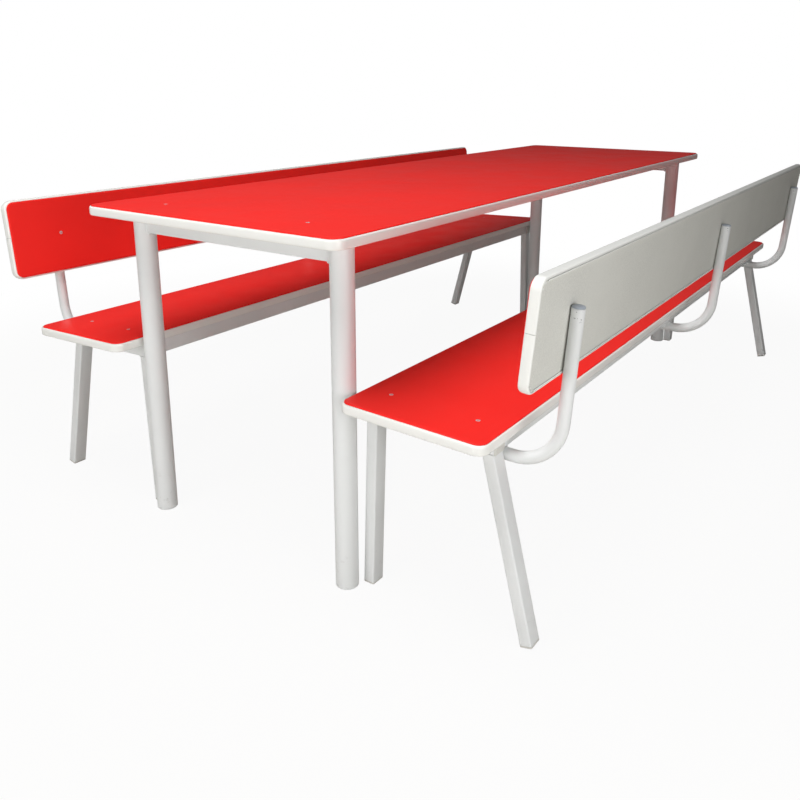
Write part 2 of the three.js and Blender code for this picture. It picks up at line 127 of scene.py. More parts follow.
class DINING_PG_panels(PropertyGroup):
    """Sizes of the boards, their red facings and their white edgings"""
    seat_rake: angle_prop("Seat rake", "How far a bench's seat and its rails tip back", 1.8)
    back_lean: angle_prop("Back lean", "Backrest's lean from square to the seat", 3.2)
    top_radius: length_prop("Top corner", "Corner radius of the table top", 0.024)
    seat_radius: length_prop("Seat corner", "Corner radius of the seats", 0.020)
    back_radius: length_prop("Back corner", "Corner radius of the backrests", 0.018)
    facing_gap: length_prop("Facing joint", "Glue line under the red facing", 0.0003)
    facing_thickness: length_prop("Facing thickness", "Red facing, a hair below its full height", 0.0027)
    facing_rim: length_prop("Facing rim", "Width of the facing's rolled rim", 0.0050)
    facing_rim_drop: length_prop("Rim drop", "How far the rolled rim curves down", 0.0018)
    edging_gap: length_prop("Edging joint", "Gap between the board's rim and the edging", 0.0003)
    edging_bulge: length_prop("Edging bulge", "How far the edging stands out from the board", 0.0045)
    edging_squareness: number_prop(
        "Edging squareness", "1 is a half ellipse; less is flatter with tighter corners", 0.6,
        min=0.2, max=1.0)
    edging_skirt: length_prop("Edging skirt", "How far the edging stands out behind the board", 0.0012)
    lip_width: length_prop("Lip width", "Lip of the edging on the back of a long side", 0.0028)
    lip_inset: length_prop("Lip inset", "Distance from the board's rim to that lip", 0.0008)
    lip_thickness: length_prop("Lip thickness", "Thickness of that lip", 0.0018)
    lip_rounding: length_prop("Lip rounding", "Rounded edges of that lip", 0.0007)
    nub_length: length_prop("Nub length", "Length of the lip's cut bits in a corner", 0.0036)
    seam_gap: length_prop("Seam gap", "Gap at the edging's butt joint", 0.0009)
    seam_off_middle: length_prop("Seam place", "Butt joint's distance from the middle of the end", 0.008)


class DINING_PG_frames(PropertyGroup):
    """Sizes of the tube frames under the table and benches"""
    foot_rounding: length_prop("Foot rounding", "Rounded lower rim of a table leg's foot", 0.0015)
    foot_height: length_prop("Foot height", "Height of a table leg's foot plug", 0.005)
    foot_groove: length_prop("Foot groove", "Groove between the foot plug and the leg", 0.0006)
    bar_radius: length_prop("Bar corner", "Corner radius of the rectangular tubes", 0.0032)
    rail_softening: length_prop("Rail softening", "Softened edges of a straight rail", 0.0005)
    rail_bite: length_prop("Rail bite", "How far an end rail's coped ends wrap its round legs in all", 0.005)
    rear_splay: angle_prop("Rear splay", "Lean of a bench's rear legs from upright", 14.3)
    bench_foot_height: length_prop("Bench foot", "Height of the cap under a bench leg", 0.004)
    bench_foot_rim: length_prop("Bench foot rim", "Rounded lower rim of that cap", 0.0012)
    tube_lean: angle_prop("Tube lean", "Lean of a back tube's upright from square to the seat", 2.05)
    tube_bend_radius: length_prop("Tube bend", "Bend radius of a back tube", 0.090)
    tube_wall: length_prop("Tube wall", "Wall of a back tube, seen at its lower end", 0.002)


class DINING_PG_fittings(PropertyGroup):
    """Sizes of plugs, screws and weld beads"""
    plug_rim: length_prop("Plug rim", "Straight rim of a tube plug", 0.0008)
    plug_dome: length_prop("Plug dome", "Height of a tube plug's dome", 0.0036)
    plug_gap: length_prop("Plug gap", "Gap under a tube plug's rim", 0.0007)
    plug_inset: length_prop("Plug inset", "How much smaller than its tube a plug's rim is", 0.0001)
    rail_plug_depth: length_prop("Rail plug", "How far a cross rail's end plug stands out", 0.0042)
    rail_plug_trim: length_prop("Rail plug trim", "What a front plug loses to clear the seat's lip", 0.0026)
    rail_plug_gap: length_prop("Rail plug gap", "Gap between the rail's end and its plug", 0.0003)
    screw_radius: length_prop("Screw head", "Radius of a screw's head", 0.0042)
    screw_dome: length_prop("Screw dome", "Height of a screw head above the facing", 0.00028)
    screw_sink: length_prop("Screw sink", "How deep a screw's head reaches into the facing", 0.00112)
    screw_slot: length_prop("Screw slot", "Width of a screw's cross slot", 0.0011)
    screw_slot_length: length_prop("Slot length", "Length of that slot", 0.00483)
    screw_slot_depth: length_prop("Slot depth", "Depth of that slot below the facing", 0.00084)
    weld_radius: length_prop("Weld bead", "Radius of a weld bead", 0.0032)
    weld_ripple: length_prop("Weld ripple", "Length of one ripple of a weld bead", 0.0030)


class DINING_PG_finishes(PropertyGroup):
    """Colours of the set, as linear values"""
    red: colour_prop("Red facing", "Glossy red laminate", (0.90, 0.027, 0.022))
    red_worn: colour_prop("Red wear", "Fine scratches in the laminate", (0.92, 0.14, 0.12))
    board: colour_prop("Board", "Pale grey melamine on the boards' backs", (0.68, 0.68, 0.635))
    edging: colour_prop("Edging", "White moulded plastic", (0.72, 0.715, 0.695))
    steel: colour_prop("Powder coat", "White powder coat of the tube frames", (0.785, 0.80, 0.80))
    steel_scuff: colour_prop("Scuffs", "Grey scuffs low on the frames", (0.50, 0.50, 0.49))
    steel_bare: colour_prop("Chips", "Bare steel in the chips at the back tubes' tops", (0.20, 0.20, 0.21))
    foot: colour_prop("Feet", "Off-white plastic of feet and rail plugs", (0.66, 0.65, 0.61))
    plug: colour_prop("Tube plugs", "Bluish grey plastic", (0.42, 0.46, 0.52))
    zinc: colour_prop("Screws", "Zinc-plated steel", (0.62, 0.61, 0.63))
    floor: colour_prop("Floor", "Plain pale studio floor", (0.62, 0.595, 0.555))


class DINING_PG_stage(PropertyGroup):
    """Camera and light of the studio"""
    focal_length: number_prop("Focal length", "Lens of the camera in millimetres", 36.21, unit="CAMERA")
    sensor: number_prop("Sensor", "Sensor width in millimetres", 36.0, unit="CAMERA")
    camera_place: FloatVectorProperty(
        name="Camera place", description="Where the camera stands", size=3, subtype="TRANSLATION",
        default=(-2.1719, -1.2066, 1.0034))
    heading: angle_prop("Heading", "Camera's heading from +X towards +Y", 34.532)
    tilt: angle_prop("Tilt", "How far the camera looks down", 15.332)
    roll: angle_prop("Roll", "Camera's roll about its view", 0.189)
    shift_right: number_prop("Shift right", "Lens shift", -0.0041)
    shift_up: number_prop("Shift up", "Lens shift", -0.1190)
    key_power: power_prop("Key lamp", "Power of the lamp high over the left end", 54.0)
    end_power: power_prop("End lamp", "Power of the low lamp facing the left end", 29.0)
    side_power: power_prop("Side lamp", "Power of the low lamp on the near side", 16.0)
    fill_power: power_prop("Fill lamp", "Power of the low lamp past the right end", 17.0)
    sky_above: number_prop("Sky above", "Strength of the soft light from above", 0.17)
    sky_low: number_prop("Sky low", "Strength of the soft light from low down", 0.11)
    floor_size: length_prop("Floor size", "Side of the studio floor", 40.0)
    floor_glow: number_prop("Floor glow", "Share of plain white in the floor under the set", 0.94)
    floor_fade_start: length_prop("Fade start", "Distance at which the floor starts to fade", 1.5)
    floor_fade_end: length_prop("Fade end", "Distance at which the floor is plain white", 2.6)


def values_of(group):
    """The values of one of the set's property groups."""
    return getattr(bpy.context.scene, f"dining_{group}")


# Selection and modelling helpers


def deselect_all():
    bpy.ops.object.select_all(action="DESELECT")


def make_active(piece):
    deselect_all()
    piece.select_set(True)
    bpy.context.view_layer.objects.active = piece


def apply_place():
    bpy.ops.object.transform_apply(location=True, rotation=True, scale=True)


def select_whole_mesh():
    bpy.ops.mesh.select_all(action="SELECT")


def open_mesh(piece):
    make_active(piece)
    bpy.ops.object.mode_set(mode="EDIT")
    bpy.ops.mesh.select_mode(type="VERT")
    select_whole_mesh()


def close_mesh():
    bpy.ops.object.mode_set(mode="OBJECT")


def name_piece(piece, name):
    piece.name = name
    piece.data.name = name
    return piece


def open_primitive(name, add, **shape):
    """Adds a primitive with nothing else selected, its place kept in its mesh, and opens that mesh."""
    deselect_all()
    add(**shape)
    apply_place()
    piece = name_piece(bpy.context.object, name)
    open_mesh(piece)
    return piece


def select_parts(piece, kind, test):
    """Selects the open mesh's vertices, edges or faces for which the test is true."""
    bpy.ops.mesh.select_mode(type={"verts": "VERT", "edges": "EDGE", "faces": "FACE"}[kind])
    bpy.ops.mesh.select_all(action="DESELECT")
    mesh = bmesh.from_edit_mesh(piece.data)
    for part in getattr(mesh, kind):
        if test(part):
            part.select_set(True)
    mesh.select_flush_mode()
    bmesh.update_edit_mesh(piece.data)


def select_open_edges(piece):
    select_parts(piece, "edges", lambda edge: edge.is_boundary)


def select_edges_along(piece, axis):
    """Selects the open mesh's edges that run along an axis."""
    def runs_along(edge):
        step = edge.verts[1].co - edge.verts[0].co
        return abs(step.normalized()[axis]) > ALIGNED

    select_parts(piece, "edges", runs_along)


def select_edges_at(piece, axis, spot):
    """Selects the open mesh's edges that lie at a spot along an axis."""
    def lies_there(edge):
        return all(abs(vert.co[axis] - spot) < SAME_PLACE for vert in edge.verts)

    select_parts(piece, "edges", lies_there)


def extrude(step):
    bpy.ops.mesh.extrude_region_move(TRANSFORM_OT_translate={"value": step})


def bevel_edges(offset, segments):
    bpy.ops.mesh.bevel(offset=offset, segments=segments, affect="EDGES")


def cut_off(spot, side):
    """Cuts the open mesh along a plane, drops what lies on one side of it and closes the cut."""
    select_whole_mesh()
    bpy.ops.mesh.bisect(plane_co=spot, plane_no=side, use_fill=True, clear_outer=True)


def mend_mesh():
    select_whole_mesh()
    bpy.ops.mesh.remove_doubles(threshold=MERGE_DISTANCE)
    bpy.ops.mesh.normals_make_consistent(inside=False)


def smooth(piece, angle=SMOOTH_ANGLE):
    make_active(piece)
    bpy.ops.object.shade_smooth_by_angle(angle=angle)


def finish_mesh(piece):
    """Mends and closes the open mesh and shades its round faces smooth."""
    mend_mesh()
    close_mesh()
    smooth(piece)


def place(piece, matrix):
    """Turns and moves a piece modelled at the origin, keeping its place in its mesh."""
    piece.matrix_world = matrix
    make_active(piece)
    apply_place()


def set_copy(master, name, matrix):
    """Sets a copy of a piece in its place, with a mesh of its own."""
    twin = master.copy()
    twin.data = master.data.copy()
    bpy.context.scene.collection.objects.link(twin)
    place(twin, matrix)
    return name_piece(twin, name)


def join(pieces, name):
    make_active(pieces[0])
    for piece in pieces[1:]:
        piece.select_set(True)
    bpy.ops.object.join()
    return name_piece(pieces[0], name)


def remove(*pieces):
    for piece in pieces:
        bpy.data.objects.remove(piece)


def body_of(name):
    return next(body for body in frame["bodies"] if name.startswith(body))


def settle(piece, slot, finish, *nodes):
    """Gives a finished piece its finish and the body that carries it; the slot is not used."""
    wear(piece, finish)
    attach(piece, body_of(piece.name))
    if nodes:
        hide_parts(*nodes)


def set_piece(piece, matrix, slot, finish, *nodes):
    """Finishes a piece whose mesh is open, sets it in its place and settles it."""
    finish_mesh(piece)
    place(piece, matrix)
    settle(piece, slot, finish, *nodes)


def wear(piece, finish):
    """Gives a piece a finish, which is made when it is first asked for."""
    material = bpy.data.materials.get(finish) or FINISH_MAKERS[finish](values_of("finishes"))
    piece.data.materials.clear()
    piece.data.materials.append(material)


# Forms that several pieces share


def quarter_turn(steps):
    """Angles from zero to a right angle in even steps."""
    return [step / steps * RIGHT_ANGLE for step in range(steps + 1)]


def open_sheet(name, length, width, radius, height):
    """Opens a new flat face with rounded corners, all selected."""
    piece = open_primitive(name, bpy.ops.mesh.primitive_plane_add, size=1.0)
    bpy.ops.transform.resize(value=(length, width, 1.0))
    bpy.ops.transform.translate(value=(0.0, 0.0, height))
    bpy.ops.mesh.bevel(offset=radius, offset_type="OFFSET", segments=CORNER_SEGMENTS, affect="VERTICES")
    bpy.ops.mesh.select_mode(type="FACE")
    select_whole_mesh()
    return piece


def round_rim(reach, rise, steps, squareness=1.0):
    """Insets the selected face step by step along a quarter of an ellipse, or of a squarer curve."""
    inset = lift = 0.0
    for turn in quarter_turn(steps)[1:]:
        new_inset = reach * (1 - math.cos(turn) ** squareness)
        new_lift = rise * math.sin(turn) ** squareness
        bpy.ops.mesh.inset(thickness=new_inset - inset, depth=new_lift - lift, use_even_offset=True)
        inset = new_inset
        lift = new_lift


def turned_piece(name, profile, sides):
    """Spins a side profile of radius and height about the Z axis."""
    piece = open_primitive(name, bpy.ops.mesh.primitive_plane_add, size=1.0)
    bpy.ops.mesh.merge(type="CENTER")
    points = [Vector((radius, 0.0, height)) for radius, height in profile]
    bpy.ops.transform.translate(value=points[0])
    for last, point in zip(points, points[1:]):
        bpy.ops.mesh.extrude_vertices_move(TRANSFORM_OT_translate={"value": point - last})
    select_whole_mesh()
    bpy.ops.mesh.spin(steps=sides, angle=2 * math.pi, center=(0, 0, 0), axis=(0, 0, 1))
    finish_mesh(piece)
    return piece


def open_block(name, size):
    """Opens a new rectangular block, centred, all selected."""
    piece = open_primitive(name, bpy.ops.mesh.primitive_cube_add, size=1.0)
    bpy.ops.transform.resize(value=size)
    return piece


def open_bar(name, size, along):
    """Opens a new rectangular bar, centred, with its long corners rounded."""
    sizes = values_of("frames")
    piece = open_block(name, size)
    select_edges_along(piece, along)
    bevel_edges(sizes.bar_radius, BAR_SEGMENTS)
    return piece


# Places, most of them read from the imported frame


def at(x, y, z):
    return Matrix.Translation((x, y, z))


class Box:
    """The box between a lowest and a highest corner."""

    def __init__(self, low, high):
        self.low = low
        self.high = high
        self.size = high - low
        self.centre = (low + high) / 2


def box_of(node):
    return Box(*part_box(node))


def box_in(matrix, node):
    """A node's box, measured in the frame of a matrix."""
    inverse = matrix.inverted()
    points = [inverse @ vert.co for vert in frame["nodes"][node].data.vertices]
    return Box(*(Vector(pick(values) for values in zip(*points)) for pick in (min, max)))


class Bench:
    """A bench's own frames, with the origin in the middle of its seat's board and the seat facing +Y.

    The legs stand in the level frame; the seat, its rails and the backrest share the raked one.
    """

    def __init__(self, name):
        turn = 0.0 if name.startswith("near") else math.pi
        seat = box_of(f"{name}_seat_board")
        self.name = name
        self.level = at(*seat.centre) @ Matrix.Rotation(turn, 4, "Z")
        self.raked = self.leaning(values_of("panels").seat_rake)

    def leaning(self, angle):
        """The level frame tipped back by an angle."""
        return self.level @ Matrix.Rotation(angle, 4, "X")


class Panel:
    """A board in its own flat frame: X along it, Y across it, Z out of its show side, back at Z = 0."""

    def __init__(self, name):
        sizes = values_of("panels")
        kind = name.rsplit("_", 1)[1]
        turn = LEVEL if kind == "top" else Bench(body_of(name)).raked
        if kind == "back":
            turn = turn @ self.back_turn(sizes.back_lean)
        board = box_in(turn, f"{name}_board")
        left_end = -1.0 if turn[0][0] > 0 else 1.0
        self.name = name
        self.radius = getattr(sizes, f"{kind}_radius")
        self.length, self.width, self.thickness = board.size
        self.seam_end = left_end if kind == "back" else -left_end
        self.matrix = turn @ at(board.centre.x, board.centre.y, board.low.z)

    def back_turn(self, lean):
        """Stands a flat panel up behind the seat, with its show side to the front."""
        up = Vector((0.0, -math.sin(lean), math.cos(lean)))
        front = Vector((0.0, math.cos(lean), math.sin(lean)))
        return Matrix((up.cross(front), up, front)).transposed().to_4x4()


# Finishes

# Where the Mix node keeps its factor, its two colours and its mixed colour among its sockets
MIX_FACTOR = 0
MIX_COLOURS = (6, 7)
MIX_RESULT = 2
# Most values of a noise texture lie between these two
NOISE_RANGE = (0.3, 0.7)
# Scuffs end at this height. Chips start this far below a back tube's plug and set in over this height.
SCUFF_HEIGHT = 0.16
CHIP_REACH = 0.02
CHIP_FADE = 0.03
WHITE = (1.0, 1.0, 1.0, 1.0)


class Nodes:
    """Adds and links the nodes of one tree."""

    def __init__(self, tree):
        self.tree = tree

    def add(self, kind, **settings):
        node = self.tree.nodes.new(kind)
        for key, value in settings.items():
            setattr(node, key, value)
        return node

    def link(self, output, target):
        self.tree.links.new(output, target)

    def spread(self, value, low, high, to_low=0.0, to_high=1.0):
        """Carries the values from low to high over to another range, with soft ends."""
        node = self.add("ShaderNodeMapRange", interpolation_type="SMOOTHSTEP")
        for key, number in (("From Min", low), ("From Max", high), ("To Min", to_low), ("To Max", to_high)):
            node.inputs[key].default_value = number
        self.link(value, node.inputs["Value"])
        return node.outputs["Result"]

    def times(self, first, second):
        node = self.add("ShaderNodeMath", operation="MULTIPLY")
        self.link(first, node.inputs[0])
        self.link(second, node.inputs[1])
        return node.outputs["Value"]

    def height_of(self, vector):
        node = self.add("ShaderNodeSeparateXYZ")
        self.link(vector, node.inputs["Vector"])
        return node.outputs["Z"]

    def camera_ray(self):
        return self.add("ShaderNodeLightPath").outputs["Is Camera Ray"]

    def show(self, output_name, factor, first, second):
        """Mixes two shaders into the tree's output."""
        node = self.add("ShaderNodeMixShader")
        self.link(factor, node.inputs["Fac"])
        self.link(first, node.inputs[1])
        self.link(second, node.inputs[2])
        self.link(node.outputs["Shader"], self.tree.nodes[output_name].inputs["Surface"])


class Finish(Nodes):
    """A procedural material on object coordinates, with its shader's even values set on its own sockets."""

    def __init__(self, name, roughness, specular, metallic=0.0):
        self.material = bpy.data.materials.new(name)
        self.material.use_nodes = True
        super().__init__(self.material.node_tree)
        self.shader = self.tree.nodes["Principled BSDF"]
        self.roughness = roughness
        self.shader.inputs["Roughness"].default_value = roughness
        self.shader.inputs["Specular IOR Level"].default_value = specular
        self.shader.inputs["Metallic"].default_value = metallic
        self.coords = self.add("ShaderNodeTexCoord").outputs["Object"]

    def noise(self, scale, detail=2.0, stretch=(1.0, 1.0, 1.0), turn=0.0):
        """Noise on the object's coordinates, turned about Z and then stretched."""
        mapping = self.add("ShaderNodeMapping")
        mapping.inputs["Scale"].default_value = stretch
        mapping.inputs["Rotation"].default_value = (0.0, 0.0, turn)
        self.link(self.coords, mapping.inputs["Vector"])
        node = self.add("ShaderNodeTexNoise")
        node.inputs["Scale"].default_value = scale
        node.inputs["Detail"].default_value = detail
        self.link(mapping.outputs["Vector"], node.inputs["Vector"])
        return node.outputs["Fac"]

    def mix_colour(self, factor, first, second):
        """Mixes two colours, each a socket or a plain colour."""
        node = self.add("ShaderNodeMix", data_type="RGBA")
        self.link(factor, node.inputs[MIX_FACTOR])
        for index, colour in zip(MIX_COLOURS, (first, second)):
            socket = node.inputs[index]
            if isinstance(colour, bpy.types.NodeSocket):
                self.link(colour, socket)
            else:
                socket.default_value = (*colour, 1.0)
        return node.outputs[MIX_RESULT]

    def clouded(self, colour, darkest, scale, detail=2.0):
        """A colour that dims in soft clouds to a share of itself."""
        cloud = self.spread(self.noise(scale, detail), *NOISE_RANGE)
        return self.mix_colour(cloud, shade(colour, darkest), colour)

    def colour(self, output):
        self.link(output, self.shader.inputs["Base Color"])

    def vary_roughness(self, by, scale, detail=2.0):
        around = (self.roughness - by, self.roughness + by)
        output = self.spread(self.noise(scale, detail), *NOISE_RANGE, *around)
        self.link(output, self.shader.inputs["Roughness"])

    def grain(self, strength, distance, scale, detail=1.0):
        """A fine unevenness of the surface."""
        node = self.add("ShaderNodeBump")
        node.inputs["Strength"].default_value = strength
        node.inputs["Distance"].default_value = distance
        self.link(self.noise(scale, detail), node.inputs["Height"])
        self.link(node.outputs["Normal"], self.shader.inputs["Normal"])


def shade(colour, factor):
    return tuple(channel * factor for channel in colour)


def red_laminate(colours):
    """Red laminate with fine scratches that all run one way, in patches."""
    finish = Finish("red_laminate", roughness=0.38, specular=0.08)
    base = finish.clouded(colours.red, darkest=0.97, scale=3.0)
    hairlines = finish.noise(1.4, detail=4.0, stretch=(1.0, 190.0, 1.0), turn=math.radians(14))
    patches = finish.spread(finish.noise(2.2), 0.52, 0.70, to_high=0.30)
    scratches = finish.times(finish.spread(hairlines, 0.66, 0.74), patches)
    finish.colour(finish.mix_colour(scratches, base, colours.red_worn))
    finish.vary_roughness(0.04, scale=9.0, detail=4.0)
    finish.grain(0.04, 0.0002, scale=600.0)
    return finish.material


def grey_melamine(colours):
    finish = Finish("grey_melamine", roughness=0.5, specular=0.35)
    base = finish.clouded(colours.board, darkest=0.94, scale=5.0, detail=3.0)
    fleck = finish.spread(finish.noise(420.0, detail=1.0), 0.35, 0.65)
    finish.colour(finish.mix_colour(fleck, base, shade(colours.board, 1.03)))
    finish.vary_roughness(0.06, scale=14.0)
    finish.grain(0.12, 0.0002, scale=700.0)
    return finish.material


def white_edging(colours):
    finish = Finish("white_edging", roughness=0.44, specular=0.22)
    finish.colour(finish.clouded(colours.edging, darkest=0.95, scale=7.0, detail=3.0))
    finish.vary_roughness(0.06, scale=20.0)
    finish.grain(0.35, 0.0012, scale=32.0)
    return finish.material


def powder_coat(name, colours, chips_from=None):
    """White powder coat with scuffs low down, and with chips above a height where one is given."""
    finish = Finish(name, roughness=0.36, specular=0.45)
    coat = finish.clouded(colours.steel, darkest=0.96, scale=6.0, detail=3.0)
    height = finish.height_of(finish.coords)
    low_down = finish.spread(height, 0.0, SCUFF_HEIGHT, 1.0, 0.0)
    specks = finish.spread(finish.noise(60.0, detail=5.0), 0.60, 0.74, to_high=0.55)
    coat = finish.mix_colour(finish.times(low_down, specks), coat, colours.steel_scuff)
    if chips_from is not None:
        high_up = finish.spread(height, chips_from, chips_from + CHIP_FADE)
        chips = finish.spread(finish.noise(190.0, detail=3.0), 0.63, 0.65)
        coat = finish.mix_colour(finish.times(high_up, chips), coat, colours.steel_bare)
    finish.colour(coat)
    finish.vary_roughness(0.06, scale=24.0)
    finish.grain(0.16, 0.0003, scale=380.0, detail=2.0)
    return finish.material


def white_powder_coat(colours):
    return powder_coat("white_powder_coat", colours)


def chipped_powder_coat(colours):
    """The back tubes' coat, chipped from a little under their plugs."""
    plug_foot = box_of("near_bench_tube_plug_left").low.z
    return powder_coat("chipped_powder_coat", colours, plug_foot - CHIP_REACH)


def moulded_plastic(name, colour, roughness):
    finish = Finish(name, roughness, specular=0.4)
    finish.colour(finish.clouded(colour, darkest=0.92, scale=60.0, detail=3.0))
    finish.vary_roughness(0.06, scale=90.0)
    finish.grain(0.15, 0.0002, scale=800.0, detail=2.0)
    return finish.material


def foot_plastic(colours):
    return moulded_plastic("foot_plastic", colours.foot, roughness=0.45)


def plug_plastic(colours):
    return moulded_plastic("plug_plastic", colours.plug, roughness=0.38)


def zinc_plate(colours):
    finish = Finish("zinc_plate", roughness=0.42, specular=0.5, metallic=0.25)
    finish.colour(finish.clouded(colours.zinc, darkest=0.75, scale=300.0, detail=3.0))
    finish.vary_roughness(0.08, scale=500.0)
    finish.grain(0.1, 0.0001, scale=1500.0)
    return finish.material


FINISH_MAKERS = {maker.__name__: maker for maker in (
    red_laminate, grey_melamine, white_edging, white_powder_coat, chipped_powder_coat, foot_plastic,
    plug_plastic, zinc_plate)}


# Panels

# Straight belt between the two curves of an edging
EDGING_BELT = 0.00005
# Where the bits of a notched lip lie in a corner, turned from its long side
NUB_TURNS = (math.radians(33), math.radians(70))


class DINING_OT_facings(Operator):
    """Red laminate facings with rolled rims on the table top, seats and backrests"""
    bl_idname = "dining_set.facings"
    bl_label = "Red Facings"

    def execute(self, context):
        sizes = values_of("panels")
        for name in PANELS:
            panel = Panel(name)
            base = panel.thickness + sizes.facing_gap
            piece = open_sheet(f"{name}_facing_skin", panel.length, panel.width, panel.radius, base)
            extrude((0.0, 0.0, sizes.facing_thickness - sizes.facing_rim_drop))
            round_rim(sizes.facing_rim, sizes.facing_rim_drop, RIM_SEGMENTS)
            set_piece(piece, panel.matrix, "red_facing", "red_laminate", f"{name}_facing")
        return {"FINISHED"}


class DINING_OT_edgings(Operator):
    """White moulded edgings: a curved web round each board, a butt joint, and lips on the long sides"""
    bl_idname = "dining_set.edgings"
    bl_label = "White Edgings"

    def execute(self, context):
        sizes = values_of("panels")
        for name in PANELS:
            panel = Panel(name)
            web = self.make_web(sizes, panel)
            bits = self.make_lips(sizes, panel) + self.make_nubs(sizes, panel)
            piece = join([web, *bits], f"{name}_edging_strip")
            smooth(piece)
            place(piece, panel.matrix)
            settle(piece, "white_edging", "white_edging", f"{name}_edging")
        return {"FINISHED"}

    def make_web(self, sizes, panel):
        bulge = sizes.edging_bulge
        half = panel.thickness / 2
        length = panel.length + 2 * bulge
        web = open_sheet(f"{panel.name}_web", length, panel.width + 2 * bulge, panel.radius + bulge, half)
        extrude((0.0, 0.0, EDGING_BELT))
        for side, rise in ((1.0, half), (-1.0, half + sizes.edging_skirt)):
            select_parts(web, "faces", lambda face: face.normal.z * side > ALIGNED)
            round_rim(bulge - sizes.edging_gap, rise, EDGING_SEGMENTS, sizes.edging_squareness)
            bpy.ops.mesh.delete(type="ONLY_FACE")
        select_open_edges(web)
        bpy.ops.mesh.bridge_edge_loops()
        mend_mesh()
        self.cut_seam(web, sizes, panel.seam_end)
        close_mesh()
        return web

    def cut_seam(self, web, sizes, end):
        """Opens the butt joint across one end and closes the two cut faces."""
        low, high = [sizes.seam_off_middle + side * sizes.seam_gap / 2 for side in SIDES]
        for across in (low, high):
            select_whole_mesh()
            bpy.ops.mesh.bisect(plane_co=(0.0, across, 0.0), plane_no=(0.0, 1.0, 0.0))

        def in_gap(face):
            centre = face.calc_center_median()
            return low < centre.y < high and centre.x * end > 0

        select_parts(web, "faces", in_gap)
        bpy.ops.mesh.delete(type="FACE")
        select_open_edges(web)
        bpy.ops.mesh.fill_holes(sides=0)
        mend_mesh()

    def open_lip(self, sizes, length):
        return open_block("lip", (length, sizes.lip_width, sizes.lip_thickness))

    def set_lip(self, sizes, lip, along, across, turn=0.0):
        """Sets a bit of the lip on the board's back."""
        close_mesh()
        under = -sizes.edging_gap - sizes.lip_thickness / 2
        place(lip, at(along, across, under) @ Matrix.Rotation(turn, 4, "Z"))
        return lip

    def make_lips(self, sizes, panel):
        """Thin strips along both long sides, between the corners."""
        lips = []
        for side in SIDES:
            lip = self.open_lip(sizes, panel.length - 2 * panel.radius)
            select_edges_along(lip, X)
            bevel_edges(sizes.lip_rounding, segments=4)
            across = side * (panel.width / 2 - sizes.lip_inset - sizes.lip_width / 2)
            lips.append(self.set_lip(sizes, lip, 0.0, across))
        return lips

    def make_nubs(self, sizes, panel):
        """Short bits of the lip, which is notched so that it can follow each corner."""
        arc = panel.radius - sizes.lip_inset - sizes.lip_width / 2
        nubs = []
        for corner_x, corner_y in CORNERS:
            for turn in NUB_TURNS:
                nub = self.open_lip(sizes, sizes.nub_length)
                bevel_edges(sizes.lip_rounding, segments=3)
                along = corner_x * (panel.length / 2 - panel.radius + arc * math.sin(turn))
                across = corner_y * (panel.width / 2 - panel.radius + arc * math.cos(turn))
                nubs.append(self.set_lip(sizes, nub, along, across, -corner_x * corner_y * turn))
        return nubs


class DINING_OT_boards(Operator):
    """Pale grey melamine on the boards of the table top, seats and backrests"""
    bl_idname = "dining_set.boards"
    bl_label = "Melamine Boards"

    def execute(self, context):
        for name in PANELS:
            wear(frame["nodes"][f"{name}_board"], "grey_melamine")
        return {"FINISHED"}


# Tube frames

# Share of a tube plug's radius that its stem has, and of a rail plug's depth that is rounded
PLUG_STEM = 0.75
RAIL_PLUG_ROUNDNESS = 0.8


class DINING_OT_table_legs(Operator):
    """Round table legs, each with a foot plug in its lower end"""
    bl_idname = "dining_set.table_legs"
    bl_label = "Table Legs"

    def execute(self, context):
        master = self.make_leg(values_of("frames"), box_of("table_leg_left_near"))
        for end in ENDS:
            for side in ("near", "far"):
                node = f"table_leg_{end}_{side}"
                centre = box_of(node).centre
                piece = set_copy(master, f"{node}_tube", at(centre.x, centre.y, 0.0))
                settle(piece, "white_steel", "white_powder_coat", node)
        remove(master)
        return {"FINISHED"}

    def make_leg(self, sizes, box):
        outer = box.size.x / 2
        top = box.high.z
        groove = sizes.foot_groove
        profile = [(0.0, 0.0)]
        for turn in quarter_turn(steps=4):
            radius = outer - sizes.foot_rounding * (1 - math.sin(turn))
            profile.append((radius, sizes.foot_rounding * (1 - math.cos(turn))))
        for depth, height in ((0.0, -groove), (groove, 0.0), (0.0, groove)):
            profile.append((outer - depth, sizes.foot_height + height))
        profile += [(outer, top), (0.0, top)]
        return turned_piece("leg_master", profile, LEG_SIDES)


class DINING_OT_rails(Operator):
    """Straight rectangular rails under the table top and the seats"""
    bl_idname = "dining_set.rails"
    bl_label = "Rails"

    def execute(self, context):
        bite = values_of("frames").rail_bite
        self.make_rail(LEVEL, "table_centre_rail", X)
        for end in ENDS:
            self.make_rail(LEVEL, f"table_end_rail_{end}", Y, bite)
        for name in BENCHES:
            raked = Bench(name).raked
            for where in ("front", "rear"):
                self.make_rail(raked, f"{name}_{where}_rail", X)
            for end in ENDS:
                self.make_rail(raked, f"{name}_cross_rail_{end}", Y)
        return {"FINISHED"}

    def make_rail(self, matrix, node, along, extra=0.0):
        sizes = values_of("frames")
        box = box_in(matrix, node)
        size = box.size.copy()
        size[along] += extra
        piece = open_bar(f"{node}_bar", size, along)
        select_whole_mesh()
        bevel_edges(sizes.rail_softening, segments=2)
        set_piece(piece, matrix @ at(*box.centre), "white_steel", "white_powder_coat", node)


